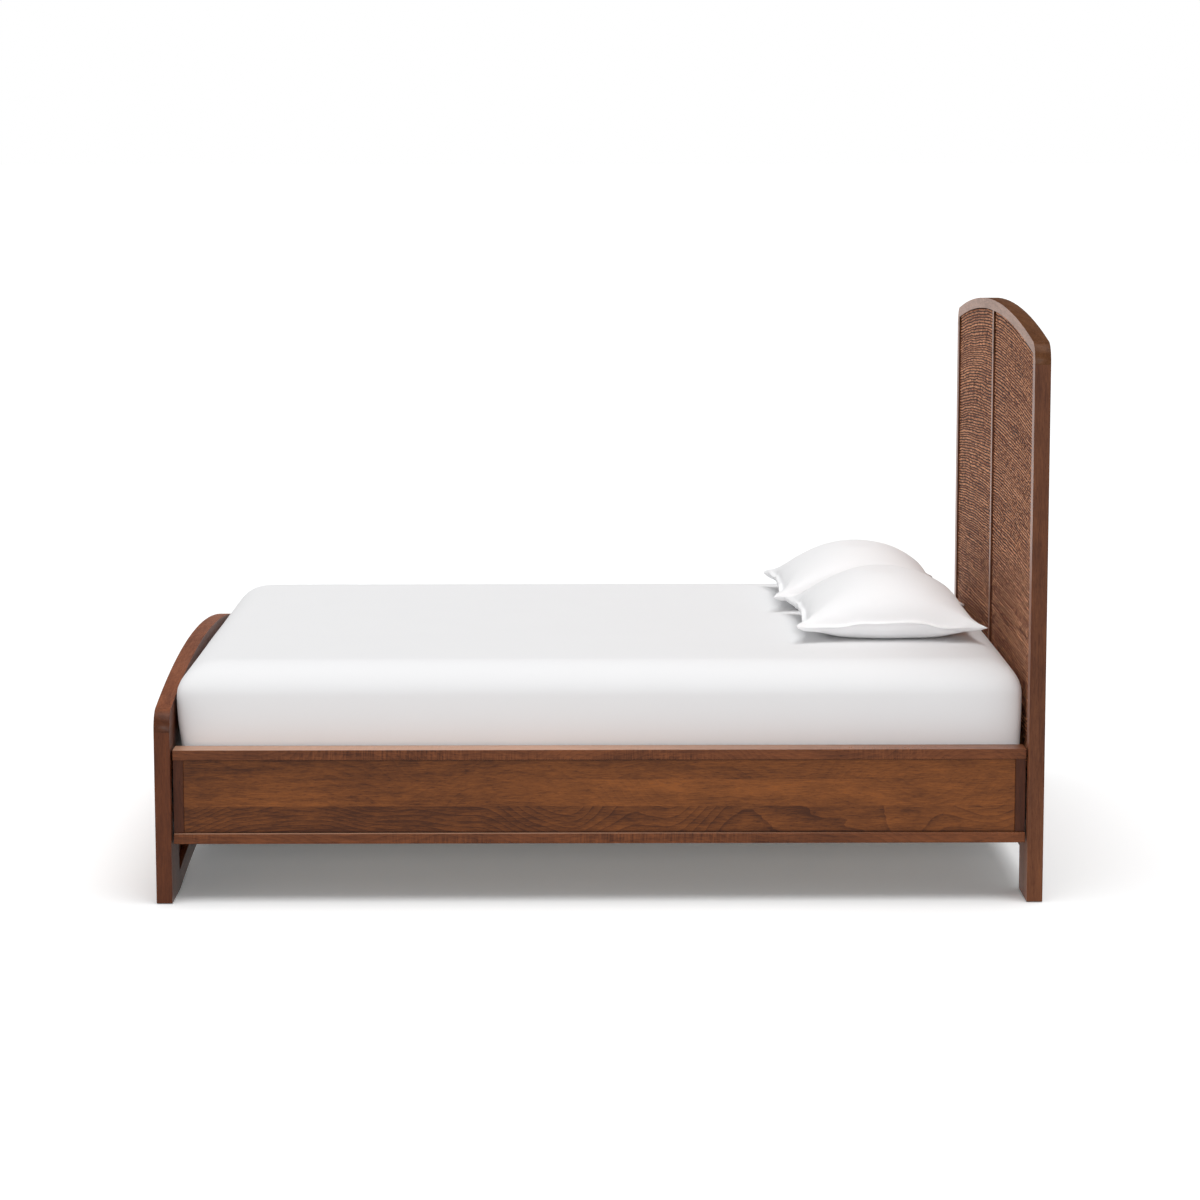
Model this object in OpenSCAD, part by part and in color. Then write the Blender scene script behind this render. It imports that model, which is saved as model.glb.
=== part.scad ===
// Panelled bed with an arched headboard and footboard, millimetres.
// +X points to the headboard, +Z up; the origin is on the floor under the bed's middle.

/* [Mattress] */
// Length of the mattress, a standard queen size
mattress_length = 2032; // [1700:1:2450]
// Width of the mattress, a standard queen size
mattress_width = 1524; // [1260:1:1940]
// Thickness of the mattress
mattress_thickness = 340; // [270:1:410]
// Radius of the mattress's soft edges
mattress_edge = 70; // [50:1:85]
// Room between the mattress and each end board, when it lies in the middle
mattress_end_gap = 12.5; // [8:0.5:20]
// How far the mattress is pushed from the middle towards the headboard
mattress_shift = 5; // [0:0.5:6]
// Room between the mattress and each side rail
mattress_side_gap = 6; // [4:0.5:15]

/* [Pillows] */
// Size of a pillow along the bed
pillow_length = 486; // [400:1:560]
// Size of a pillow across the bed
pillow_width = 550; // [460:1:600]
// Height of a pillow's crown above the mattress
pillow_height = 158; // [130:1:190]
// Height of a pillow's corners above the mattress
pillow_corner_height = 40; // [25:1:50]
// Radius of a pillow's corners
pillow_corner = 12; // [10:1:16]
// Distance from a pillow's edge to where its crown begins to round over
pillow_slope = 70; // [50:1:90]
// Distance from the right pillow to the headboard
pillow_to_headboard = 55; // [20:1:90]
// How much further from the headboard the left pillow lies
pillow_stagger = 28; // [0:1:60]
// Gap between the two pillows
pillow_gap = 10; // [4:1:60]
// Distance of the gap between the pillows from the bed's middle line
pillow_offset = 70; // [0:1:85]

/* [Boards and posts] */
// Thickness of the headboard and the footboard
board = 38; // [31:1:46]
// Width of each post, which runs down into a leg
post_width = 150; // [120:1:185]
// Radius of the shoulders where the arch turns down into the posts
shoulder_radius = 50; // [38:1:62]
// Straight part of a top rail's ends, between their round shoulders and the posts under them
shoulder_straight = 3; // [2:0.5:6]
// Height of the tenons that join the posts to the top rails
post_tenon_height = 28; // [22:1:34]
// Length of the tenons that join the bottom rails to the posts
tenon_length = 45; // [35:1:55]
// Thickness of the tenons
tenon_thickness = 9; // [7:0.5:11]
// Width of the wood left above and below a tenon
tenon_shoulder = 12; // [8:1:14]
// Play around a tenon in its mortise
tenon_play = 0.3; // [0.1:0.1:0.5]
// Length of the stub tenons at the ends of the centre stiles
stub_length = 28; // [20:1:34]
// Width of the stub tenons
stub_width = 40; // [32:1:48]

/* [Headboard] */
// Height of the headboard at the top of its arch
head_height = 1407; // [1170:1:1690]
// Rise of the headboard's arch above its shoulders
head_rise = 66; // [50:1:85]
// Height of the wooden top rail below the shoulders
head_rail_drop = 72; // [60:1:90]
// Height of the bottom rail
head_base_height = 240; // [200:1:285]
// Wood left between a catch plate and the rebate of the woven panel over it
catch_cover = 2.5; // [1.5:0.5:6]

/* [Footboard] */
// Height of the footboard at the top of its arch
foot_height = 540; // [480:1:650]
// Rise of the footboard's arch above its shoulders
foot_rise = 76; // [60:1:92]
// Height of the wooden top rail below the shoulders
foot_rail_drop = 64; // [50:1:80]
// Rise of the arched lower edge between the feet
foot_arch_rise = 48; // [40:1:58]
// Height of the arched bottom rail
foot_base_height = 48; // [40:1:58]

/* [Woven panels] */
// Width of the plain wood beside a woven panel
side_band = 40; // [30:1:50]
// Width of the plain wood over a woven panel
top_band = 27; // [22:1:33]
// Width of the strip between the two woven panels
centre_band = 28; // [22:1:34]
// Depth of the woven face below the wood
weave_recess = 5; // [4:0.5:7]
// Thickness of the woven mat
weave_thickness = 4; // [3:0.5:5]
// Thickness of the board that backs the mat
backing = 12; // [9:1:14]
// Overlap of the mat and its backing on the wood behind them
panel_lap = 22; // [18:1:28]
// Play around a panel in its rebate
panel_play = 0.5; // [0.3:0.1:1]

/* [Side rails] */
// Height of a side rail's lower edge above the floor
rail_bottom = 144; // [125:1:170]
// Height of a side rail
rail_height = 229; // [190:1:275]
// Height of the plain cap and base of a side rail
rail_band = 24.5; // [20:0.5:30]
// Depth of the cap and the base, out to in
rail_depth = 64; // [54:1:77]
// Distance of the rail's face behind the posts' outer edge
rail_inset = 14; // [11:1:17]
// Depth of the rail's panel behind its face
rail_panel_recess = 12; // [8:1:14]
// Thickness of the rail's panel
rail_panel_thickness = 22; // [18:1:26]
// Width of the upright at each end of a rail
rail_stile = 24; // [20:1:29]
// Depth of that upright behind the rail's face
rail_stile_recess = 10.5; // [7:0.5:12]
// Length of the tongue round a rail's panel, in the grooves of its frame
rail_tongue = 8; // [6:0.5:10]
// Thickness of the tongue
rail_tongue_thickness = 8; // [6:0.5:10]
// Play around the tongue
rail_tongue_play = 0.3; // [0.1:0.1:0.5]
// Gap between a rail's end and the post
rail_end_gap = 4; // [3:0.5:5]

/* [Slats] */
// Number of slats
slat_count = 12; // [10:1:14]
// Width of a slat
slat_width = 92; // [76:1:110]
// Thickness of a slat
slat_thickness = 20; // [16:1:24]
// Height of the slats' upper face above a side rail's lower edge
slat_rise = 88; // [84:1:106]
// Depth of the cleat that carries the slats
cleat_depth = 60; // [50:1:72]
// Height of the cleat
cleat_height = 30; // [24:1:36]
// Room between the last slat and the end board
slat_end_gap = 30; // [24:1:48]
// Room between a slat's end and the rail's cap
slat_play = 4; // [3:1:8]

/* [Centre support] */
// Width of the centre beam
beam_width = 38; // [32:1:45]
// Height of the centre beam
beam_height = 86; // [72:1:90]
// Side of a square centre leg
leg_side = 45; // [40:1:54]
// Number of centre legs
leg_count = 3; // [1:1:4]
// Distance between centre legs
leg_spacing = 640; // [540:1:660]
// Open height between a centre leg and its foot's disc
leveller_gap = 22; // [18:1:26]
// Radius of a leveller's disc
leveller_disc = 18; // [14:1:21]
// Thickness of a leveller's disc
leveller_disc_height = 7; // [5:1:9]
// Radius of a leveller's stem
leveller_stem = 5; // [4:0.5:6]
// Length of stem inside the centre leg
leveller_grip = 32; // [26:1:38]
// How far a leveller can be screwed up
leveller_travel = 16; // [12:1:17]
// Radial play of the stem in its socket
leveller_play = 0.05; // [0.02:0.01:0.1]

/* [Fittings] */
// Thickness of the steel plates
plate = 3; // [2.5:0.5:4]
// Width of a hook plate and its catch plate
plate_width = 24; // [20:1:28]
// Width of the wood left on each side of a hook plate
plate_shoulder = 12; // [10:1:15]
// Height of a hook plate and its catch plate
plate_height = 130; // [108:1:150]
// Thickness of a hook
hook_thickness = 4; // [3:0.5:5]
// Height of a hook's neck
hook_height = 18; // [15:1:21]
// How far a hook's nose hangs down behind its catch plate
hook_drop = 9; // [7:1:11]
// Distance between the two hooks of a plate
hook_spacing = 66; // [55:1:75]
// Length of the saddle that holds an end of the centre beam
saddle_length = 46; // [38:1:55]
// Radius of the glides under the posts
glide_radius = 12; // [10:1:14]
// Thickness of a glide
glide_thickness = 5; // [4:1:6]
// How far a glide stands out under its post
glide_stand = 2; // [1.5:0.5:3]

/* [Hidden] */
$fn = 96;
cut = 1;                     // how far a cutting shape runs past the face it cuts
arch_fn = 360;               // sides of the wide arches
soft_fn = 32;                // sides of the pillows' corners
contact = 0.4;               // air under a soft part that lies on another
arch_step = 0.05;            // step that keeps a shoulder from lying exactly along the arch
beam_play = 1;               // room between the centre beam's end and its saddle

inner_x = mattress_length / 2 + mattress_end_gap;        // inner faces of the end boards
outer_x = inner_x + board;                               // outer faces of the end boards
rail_in_y = mattress_width / 2 + mattress_side_gap;      // inner edge of a rail's cap
rail_out_y = rail_in_y + rail_depth;                     // outer face of a rail
half_width = rail_out_y + rail_inset;                    // outer edges of the posts
post_in_y = half_width - post_width;                     // inner edges of the posts

rebate = weave_recess + weave_thickness + backing;       // depth of the panels' rebate
tenon_set = rebate + (board - rebate - tenon_thickness) / 2;  // face of the board to the tenon
centre_width = centre_band + 2 * panel_lap;              // centre stile behind the panels

head_rail_low = head_height - head_rise - head_rail_drop;
foot_rail_low = foot_height - foot_rise - foot_rail_drop;

rail_top = rail_bottom + rail_height;
rail_half = inner_x - rail_end_gap;                      // half the length of a side rail
rail_panel_half = rail_half - rail_stile;                // half the length of a rail's panel
rail_panel_y = rail_out_y - rail_panel_recess;           // outer face of a rail's panel
rail_panel_in_y = rail_panel_y - rail_panel_thickness;   // inner face of a rail's panel
rail_stile_depth = plate_width + 2 * plate_shoulder;     // depth of a rail's end upright

slat_top = rail_bottom + slat_rise;
slat_bottom = slat_top - slat_thickness;
slat_half = rail_in_y - slat_play;
slat_room = inner_x - slat_width / 2 - slat_end_gap;     // centre of the last slat
slat_pitch = 2 * slat_room / (slat_count - 1);

beam_bottom = slat_bottom - beam_height;
beam_half = inner_x - plate - beam_play;                 // half the length of the centre beam
leg_bottom = leveller_disc_height + leveller_gap;

hook_y = rail_out_y - rail_stile_recess - rail_stile_depth / 2;  // middle of a hook plate, across the bed
hook_z = rail_bottom + rail_height / 2;                  // middle of a hook plate, above the floor
head_base_top = hook_z + plate_height / 2 + catch_cover + panel_lap;
head_base_low = head_base_top - head_base_height;
hook_pocket = 9;                                         // depth of the pocket behind a catch plate
hook_play = 0.3;                                         // play of a hook in its slot
pocket_margin = 8;                                       // from a catch plate's end to its pocket
leg_socket_end = 2;                                      // room over a leveller's stem when it is up

mattress_bottom = slat_top + contact;
mattress_top = mattress_bottom + mattress_thickness;
pillow_x = inner_x - pillow_to_headboard - pillow_length / 2;    // middle of the right pillow
pillow_bottom = mattress_top + contact;

SLATS = [for (i = [1:slat_count]) str("slat_", i)];
LEGS = [for (i = [1:leg_count]) str("centre_leg_", i)];
LEVELLERS = [for (i = [1:leg_count]) str("leveller_", i)];

// ---- shared shapes ----

// Radius of an arc that rises by `rise` over a chord of half-length `half`
function arc_radius(half, rise) = (half * half + rise * rise) / (2 * rise);

// Solid disc lying across the bed, whose rim is an arch with its top at height `peak`
module arch(peak, rise, half, grow = 0) {
    radius = arc_radius(half, rise);
    translate([-board / 2 - cut, 0, peak - radius])
        rotate([0, 90, 0]) cylinder(r = radius + grow, h = board + 2 * cut, $fn = arch_fn);
}

// Height of the middle of the round shoulders at the ends of an arch
function shoulder_height(peak, rise) =
    let (radius = arc_radius(half_width, rise), reach = radius - shoulder_radius - arch_step,
         centre_y = half_width - shoulder_radius)
    peak - radius + sqrt(reach * reach - centre_y * centre_y);

// Height of the joint between a post and the top rail that lies on it
function post_top(peak, rise) = shoulder_height(peak, rise) - shoulder_straight;

// What is cut off a board's corner to leave a round shoulder between the arch and the board's edge
module shoulder_cut(peak, rise) {
    radius = arc_radius(half_width, rise);
    centre_y = half_width - shoulder_radius;
    centre_z = shoulder_height(peak, rise);
    touch_y = centre_y * radius / (radius - shoulder_radius - arch_step);
    difference() {
        translate([-board / 2 - cut, touch_y, centre_z])
            cube([board + 2 * cut, half_width - touch_y + cut, peak - centre_z]);
        translate([-board / 2 - 2 * cut, centre_y, centre_z])
            rotate([0, 90, 0]) cylinder(r = shoulder_radius, h = board + 4 * cut);
    }
}

// Block of an end board between two widths and two heights
module slice(y0, y1, z0, z1) {
    translate([-board / 2, y0, z0]) cube([board, y1 - y0, z1 - z0]);
}

// Block inside an end board, from `deep` behind its face and `thick` through
module inlay(deep, thick, y0, y1, z0, z1) {
    translate([board / 2 - deep - thick, y0, z0]) cube([thick, y1 - y0, z1 - z0]);
}

// End boards are drawn about the board's middle plane, panelled face towards +X, then set in
// place: the headboard's face looks at the mattress, the footboard's away from it
module head_place() { translate([inner_x + board / 2, 0, 0]) mirror([1, 0, 0]) children(); }
module foot_place() { translate([-inner_x - board / 2, 0, 0]) mirror([1, 0, 0]) children(); }

// Mirrors its children to the left side (+Y) or leaves them on the right side (-Y)
module on_side(left) { mirror([0, left ? 0 : 1, 0]) children(); }

// ---- woven panels ----

// Outline of the room for a panel on the +Y side, `deep` behind the face and `thick` through
module panel_room(peak, rise, low, deep, thick, play) {
    intersection() {
        inlay(deep, thick, centre_band / 2 + play, half_width - side_band - play, low + play, peak);
        arch(peak, rise, half_width, -top_band - play);
    }
}

// As panel_room, with a lower edge that follows the footboard's arched bottom rail
module foot_panel_room(deep, thick, play) {
    difference() {
        panel_room(foot_height, foot_rise, 0, deep, thick, play);
        arch(foot_arch_rise, foot_arch_rise, post_in_y, foot_base_height - panel_lap + play);
    }
}

module head_panel_room(deep, thick, play) {
    panel_room(head_height, head_rise, head_base_top - panel_lap, deep, thick, play);
}

module both_sides() {
    children();
    mirror([0, 1, 0]) children();
}

// Tenon of a rail between two heights, or with play its mortise in the post
module tenon(z0, z1, play = 0) {
    inlay(tenon_set - play, tenon_thickness + 2 * play, post_in_y - cut, post_in_y + tenon_length + play,
          z0 + tenon_shoulder - play, z1 - tenon_shoulder + play);
}

// Tenon at a post's top, or with play its mortise in the top rail
module post_tenon(joint, play = 0) {
    inlay(tenon_set - play, tenon_thickness + 2 * play, post_in_y + tenon_shoulder - play,
          half_width - shoulder_radius - tenon_shoulder + play, joint - cut, joint + post_tenon_height + play);
}

// Top rail of a board: it spans the posts' tops, and reaches down to `low` between them
module arched_rail(peak, rise, low) {
    difference() {
        intersection() {
            union() {
                slice(-post_in_y, post_in_y, low, peak);
                slice(-half_width, half_width, post_top(peak, rise), peak);
            }
            arch(peak, rise, half_width);
        }
        both_sides() shoulder_cut(peak, rise);
        both_sides() post_tenon(post_top(peak, rise), tenon_play);
    }
}

// Stub tenon of a centre stile between two heights, or with play its mortise
module stub(z0, z1, play = 0) {
    inlay(tenon_set - play, tenon_thickness + 2 * play, -stub_width / 2 - play, stub_width / 2 + play,
          z0 - play, z1 + play);
}

// ---- headboard ----

module head_base_tenon(play = 0) { tenon(head_base_low, head_base_top - panel_lap, play); }

module head_stub(play = 0) { stub(head_base_top - stub_length, head_rail_low + stub_length, play); }

// Hollow behind and for the catch plate, at the height of the rail's hooks
module catch_pocket() {
    translate([-board / 2, hook_y - plate_width / 2, hook_z - plate_height / 2])
        cube([plate, plate_width, plate_height]);
    translate([-board / 2, hook_y - plate_width / 4, hook_z - plate_height / 2 + pocket_margin])
        cube([plate + hook_pocket, plate_width / 2, plate_height - 2 * pocket_margin]);
}

module glide_socket() {
    for (y = [post_in_y + post_width / 5, half_width - post_width / 5])
        translate([0, y, 0]) cylinder(r = glide_radius, h = glide_thickness);
}

module head_post() {
    difference() {
        union() {
            slice(post_in_y, half_width, glide_stand, post_top(head_height, head_rise));
            post_tenon(post_top(head_height, head_rise));
        }
        head_panel_room(-cut, rebate + cut, 0);
        head_base_tenon(tenon_play);
        mirror([1, 0, 0]) catch_pocket();
        glide_socket();
    }
}

module headboard_post(left) { color("saddlebrown") head_place() on_side(left) head_post(); }

module headboard_top_rail() {
    color("saddlebrown") head_place() difference() {
        arched_rail(head_height, head_rise, head_rail_low);
        both_sides() head_panel_room(-cut, rebate + cut, 0);
        head_stub(tenon_play);
    }
}

module headboard_bottom_rail() {
    color("saddlebrown") head_place() difference() {
        union() {
            slice(-post_in_y, post_in_y, head_base_low, head_base_top);
            both_sides() head_base_tenon();
        }
        both_sides() head_panel_room(-cut, rebate + cut, 0);
        head_stub(tenon_play);
    }
}

module headboard_centre_stile() {
    color("saddlebrown") head_place() difference() {
        union() {
            slice(-centre_width / 2, centre_width / 2, head_base_top, head_rail_low);
            head_stub();
        }
        both_sides() head_panel_room(-cut, rebate + cut, 0);
    }
}

module headboard_backing(left) {
    color("sienna") head_place() on_side(left)
        head_panel_room(weave_recess + weave_thickness, backing, panel_play);
}

module headboard_woven(left) {
    color("tan") head_place() on_side(left) head_panel_room(weave_recess, weave_thickness, panel_play);
}

// ---- footboard ----

module foot_base_tenon(play = 0) { tenon(glide_stand, foot_base_height, play); }

module foot_stub(play = 0) { stub(foot_rail_low - cut, foot_rail_low + stub_length, play); }

module foot_post() {
    difference() {
        union() {
            slice(post_in_y, half_width, glide_stand, post_top(foot_height, foot_rise));
            post_tenon(post_top(foot_height, foot_rise));
        }
        foot_panel_room(-cut, rebate + cut, 0);
        foot_base_tenon(tenon_play);
        catch_pocket();
        glide_socket();
    }
}

module footboard_post(left) { color("saddlebrown") foot_place() on_side(left) foot_post(); }

module footboard_top_rail() {
    color("saddlebrown") foot_place() difference() {
        arched_rail(foot_height, foot_rise, foot_rail_low);
        both_sides() foot_panel_room(-cut, rebate + cut, 0);
        foot_stub(tenon_play);
    }
}

// Arched band between the feet
module foot_base_band() {
    difference() {
        intersection() {
            slice(-post_in_y, post_in_y, glide_stand, foot_arch_rise + foot_base_height + cut);
            arch(foot_arch_rise, foot_arch_rise, post_in_y, foot_base_height);
        }
        arch(foot_arch_rise, foot_arch_rise, post_in_y, 0);
    }
}

module footboard_bottom_rail() {
    color("saddlebrown") foot_place() difference() {
        union() {
            foot_base_band();
            both_sides() foot_base_tenon();
        }
        both_sides() foot_panel_room(-cut, rebate + cut, 0);
    }
}

module footboard_centre_stile() {
    color("saddlebrown") foot_place() difference() {
        union() {
            slice(-centre_width / 2, centre_width / 2, foot_arch_rise, foot_rail_low);
            foot_stub();
        }
        arch(foot_arch_rise, foot_arch_rise, post_in_y, foot_base_height);
        both_sides() foot_panel_room(-cut, rebate + cut, 0);
    }
}

module footboard_backing(left) {
    color("sienna") foot_place() on_side(left)
        foot_panel_room(weave_recess + weave_thickness, backing, panel_play);
}

module footboard_woven(left) {
    color("tan") foot_place() on_side(left) foot_panel_room(weave_recess, weave_thickness, panel_play);
}

// ---- side rails, drawn on the +Y side ----

// Block of a rail between two depths behind its face and two heights
module rail_block(x0, x1, deep, thick, z0, z1) {
    translate([x0, rail_out_y - deep - thick, z0]) cube([x1 - x0, thick, z1 - z0]);
}

// Tongue round a rail's panel, or with play the grooves that it fits
module rail_panel_tongue(play = 0) {
    reach = rail_tongue + play;
    rail_block(-rail_panel_half - reach, rail_panel_half + reach,
               rail_panel_recess + (rail_panel_thickness - rail_tongue_thickness) / 2 - play,
               rail_tongue_thickness + 2 * play,
               rail_bottom + rail_band - reach, rail_top - rail_band + reach);
}

module rail_cap(left) {
    color("saddlebrown") on_side(left) difference() {
        rail_block(-rail_half, rail_half, 0, rail_depth, rail_top - rail_band, rail_top);
        rail_panel_tongue(rail_tongue_play);
    }
}

module rail_base(left) {
    color("saddlebrown") on_side(left) difference() {
        rail_block(-rail_half, rail_half, 0, rail_depth, rail_bottom, rail_bottom + rail_band);
        rail_panel_tongue(rail_tongue_play);
    }
}

module rail_panel(left) {
    color("sienna") on_side(left) {
        rail_block(-rail_panel_half, rail_panel_half, rail_panel_recess, rail_panel_thickness,
                   rail_bottom + rail_band, rail_top - rail_band);
        rail_panel_tongue();
    }
}

// Upright at a rail's end, with the seat of its hook plate
module rail_upright() {
    difference() {
        rail_block(rail_panel_half, rail_half, rail_stile_recess, rail_stile_depth,
                   rail_bottom + rail_band, rail_top - rail_band);
        rail_panel_tongue(rail_tongue_play);
        translate([rail_half - plate, hook_y - plate_width / 2, hook_z - plate_height / 2])
            cube([plate + cut, plate_width, plate_height]);
    }
}

module rail_stile_head(left) { color("saddlebrown") on_side(left) rail_upright(); }
module rail_stile_foot(left) { color("saddlebrown") mirror([1, 0, 0]) on_side(left) rail_upright(); }

// ---- fittings ----

module four_corners() {
    for (head = [0, 1], left = [0, 1])
        mirror([1 - head, 0, 0]) mirror([0, 1 - left, 0]) children();
}

// One hook: a neck through the catch plate and a nose that hangs behind it
module hook(z) {
    reach = rail_end_gap + plate + hook_play;
    translate([rail_half - cut / 2, hook_y - hook_thickness / 2, z])
        cube([reach + cut / 2 + hook_pocket / 2, hook_thickness, hook_height]);
    translate([rail_half + reach, hook_y - hook_thickness / 2, z - hook_drop])
        cube([hook_pocket / 2, hook_thickness, hook_drop + hook_height]);
}

module rail_hook_plates() {
    color("silver") four_corners() {
        translate([rail_half - plate, hook_y - plate_width / 2, hook_z - plate_height / 2])
            cube([plate, plate_width, plate_height]);
        for (s = [-1, 1]) hook(hook_z + s * hook_spacing / 2 - hook_height / 2);
    }
}

module post_catch_plates() {
    color("silver") four_corners() difference() {
        translate([inner_x, hook_y - plate_width / 2, hook_z - plate_height / 2])
            cube([plate, plate_width, plate_height]);
        for (s = [-1, 1])
            translate([inner_x - cut, hook_y - hook_thickness / 2 - hook_play,
                       hook_z + s * hook_spacing / 2 - hook_height / 2])
                cube([plate + 2 * cut, hook_thickness + 2 * hook_play,
                      hook_height + hook_drop + hook_play]);
    }
}

// Steel saddle that holds one end of the centre beam
module saddle() {
    width = beam_width + 2 * plate;
    translate([inner_x - plate, -centre_width / 2, beam_bottom - plate])
        cube([plate, centre_width, beam_height + plate]);
    difference() {
        translate([inner_x - saddle_length, -width / 2, beam_bottom - plate])
            cube([saddle_length, width, beam_height * 2 / 3]);
        translate([inner_x - saddle_length - cut, -beam_width / 2, beam_bottom])
            cube([saddle_length - plate + cut, beam_width, beam_height]);
    }
}

module beam_saddles() {
    color("dimgray") {
        saddle();
        mirror([1, 0, 0]) saddle();
    }
}

module post_glides() {
    color("black") for (x = [inner_x + board / 2, -inner_x - board / 2], s = [-1, 1])
        translate([x, 0, 0]) mirror([0, s > 0 ? 0 : 1, 0]) glide_socket();
}

// ---- slats and centre support ----

module cleat(left) {
    color("burlywood") on_side(left)
        translate([-rail_panel_half, rail_panel_in_y - cleat_depth, slat_bottom - cleat_height])
            cube([2 * rail_panel_half, cleat_depth, cleat_height]);
}

module slat(i) {
    color("burlywood")
        translate([-slat_room + (i - 1) * slat_pitch - slat_width / 2, -slat_half, slat_bottom])
            cube([slat_width, 2 * slat_half, slat_thickness]);
}

module centre_beam() {
    color("burlywood") translate([-beam_half, -beam_width / 2, beam_bottom])
        cube([2 * beam_half, beam_width, beam_height]);
}

function leg_x(i) = (i - (leg_count + 1) / 2) * leg_spacing;

module centre_leg(i) {
    socket = leveller_grip + leveller_travel + leg_socket_end;
    color("burlywood") translate([leg_x(i), 0, 0]) difference() {
        translate([-leg_side / 2, -leg_side / 2, leg_bottom])
            cube([leg_side, leg_side, beam_bottom - leg_bottom]);
        translate([0, 0, leg_bottom - cut])
            cylinder(r = leveller_stem + leveller_play, h = cut + socket);
    }
}

module leveller(i) {
    color("silver") translate([leg_x(i), 0, 0]) {
        cylinder(r = leveller_disc, h = leveller_disc_height);
        translate([0, 0, leveller_disc_height - cut])
            cylinder(r = leveller_stem, h = cut + leveller_gap + leveller_grip);
    }
}

// ---- soft parts ----

// What is cut off the four edges that run along X of a block centred on the origin
module edge_cuts(length, width, height, radius) {
    for (s = [0, 1], t = [0, 1])
        mirror([0, s, 0]) mirror([0, 0, t]) translate([0, width / 2 - radius, height / 2 - radius])
            difference() {
                translate([-length / 2 - cut, 0, 0]) cube([length + 2 * cut, radius + cut, radius + cut]);
                rotate([0, 90, 0]) cylinder(r = radius, h = length + 4 * cut, center = true);
            }
}

module mattress() {
    size = [mattress_length, mattress_width, mattress_thickness];
    color("white") translate([mattress_shift, 0, mattress_bottom + mattress_thickness / 2]) difference() {
        cube(size, center = true);
        edge_cuts(size[0], size[1], size[2], mattress_edge);
        rotate([0, 0, 90]) edge_cuts(size[1], size[0], size[2], mattress_edge);
        rotate([0, 90, 0]) edge_cuts(size[2], size[1], size[0], mattress_edge);
    }
}

module pillow() {
    half = [pillow_length / 2, pillow_width / 2];
    color("whitesmoke") hull() {
        for (x = [-1, 1], y = [-1, 1])
            translate([x * (half[0] - pillow_corner), y * (half[1] - pillow_corner), pillow_corner_height])
                sphere(r = pillow_corner, $fn = soft_fn);
        translate([0, 0, pillow_height / 2])
            scale([half[0] - pillow_slope, half[1] - pillow_slope, pillow_height / 2])
                sphere(r = 1, $fn = soft_fn);
    }
}

module pillow_on(left) {
    x = pillow_x - (left ? pillow_stagger : 0);
    side = left ? 1 : -1;
    translate([x, pillow_offset + side * (pillow_gap + pillow_width) / 2, pillow_bottom]) pillow();
}

// ---- what is drawn ----

headboard_post(true);  // headboard_post_left
headboard_post(false);  // headboard_post_right
headboard_top_rail();
headboard_bottom_rail();
headboard_centre_stile();
headboard_backing(true);  // headboard_backing_left
headboard_backing(false);  // headboard_backing_right
headboard_woven(true);  // headboard_woven_left
headboard_woven(false);  // headboard_woven_right
footboard_post(true);  // footboard_post_left
footboard_post(false);  // footboard_post_right
footboard_top_rail();
footboard_bottom_rail();
footboard_centre_stile();
footboard_backing(true);  // footboard_backing_left
footboard_backing(false);  // footboard_backing_right
footboard_woven(true);  // footboard_woven_left
footboard_woven(false);  // footboard_woven_right
rail_cap(true);  // rail_cap_left
rail_cap(false);  // rail_cap_right
rail_base(true);  // rail_base_left
rail_base(false);  // rail_base_right
rail_panel(true);  // rail_panel_left
rail_panel(false);  // rail_panel_right
rail_stile_head(true);  // rail_stile_head_left
rail_stile_head(false);  // rail_stile_head_right
rail_stile_foot(true);  // rail_stile_foot_left
rail_stile_foot(false);  // rail_stile_foot_right
cleat(true);  // cleat_left
cleat(false);  // cleat_right
centre_beam();
beam_saddles();
rail_hook_plates();
post_catch_plates();
post_glides();
for (i = [1:slat_count]) slat(i);
for (i = [1:leg_count]) centre_leg(i);
for (i = [1:leg_count]) leveller(i);
mattress();
pillow_on(true);  // pillow_left
pillow_on(false);  // pillow_right
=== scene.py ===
"""Arched panel bed: stained wood, woven panels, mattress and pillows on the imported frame."""
import math

import bpy
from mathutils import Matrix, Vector, noise


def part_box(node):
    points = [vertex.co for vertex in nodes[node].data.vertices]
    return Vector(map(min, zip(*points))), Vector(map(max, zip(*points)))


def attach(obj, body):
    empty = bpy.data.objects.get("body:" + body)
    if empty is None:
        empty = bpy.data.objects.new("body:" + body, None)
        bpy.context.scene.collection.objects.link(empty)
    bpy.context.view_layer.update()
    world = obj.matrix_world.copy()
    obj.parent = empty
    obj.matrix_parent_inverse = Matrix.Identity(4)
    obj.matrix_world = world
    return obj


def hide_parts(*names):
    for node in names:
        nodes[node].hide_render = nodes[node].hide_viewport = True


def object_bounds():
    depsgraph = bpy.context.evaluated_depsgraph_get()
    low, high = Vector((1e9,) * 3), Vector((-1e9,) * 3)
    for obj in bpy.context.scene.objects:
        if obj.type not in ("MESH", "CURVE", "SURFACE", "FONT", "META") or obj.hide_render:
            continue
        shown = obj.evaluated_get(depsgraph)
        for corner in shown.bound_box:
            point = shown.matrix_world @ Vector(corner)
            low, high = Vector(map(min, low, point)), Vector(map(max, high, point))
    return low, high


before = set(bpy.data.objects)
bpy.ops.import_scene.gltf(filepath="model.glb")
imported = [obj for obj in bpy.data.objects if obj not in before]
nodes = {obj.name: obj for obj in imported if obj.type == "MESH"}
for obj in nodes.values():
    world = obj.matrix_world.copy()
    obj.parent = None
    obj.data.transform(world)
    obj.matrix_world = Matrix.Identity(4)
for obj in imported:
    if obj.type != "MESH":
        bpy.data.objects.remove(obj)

cad_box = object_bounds()

# ---- sizes, in metres: the foot of the bed is towards -X, its left side towards +Y ----

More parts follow.
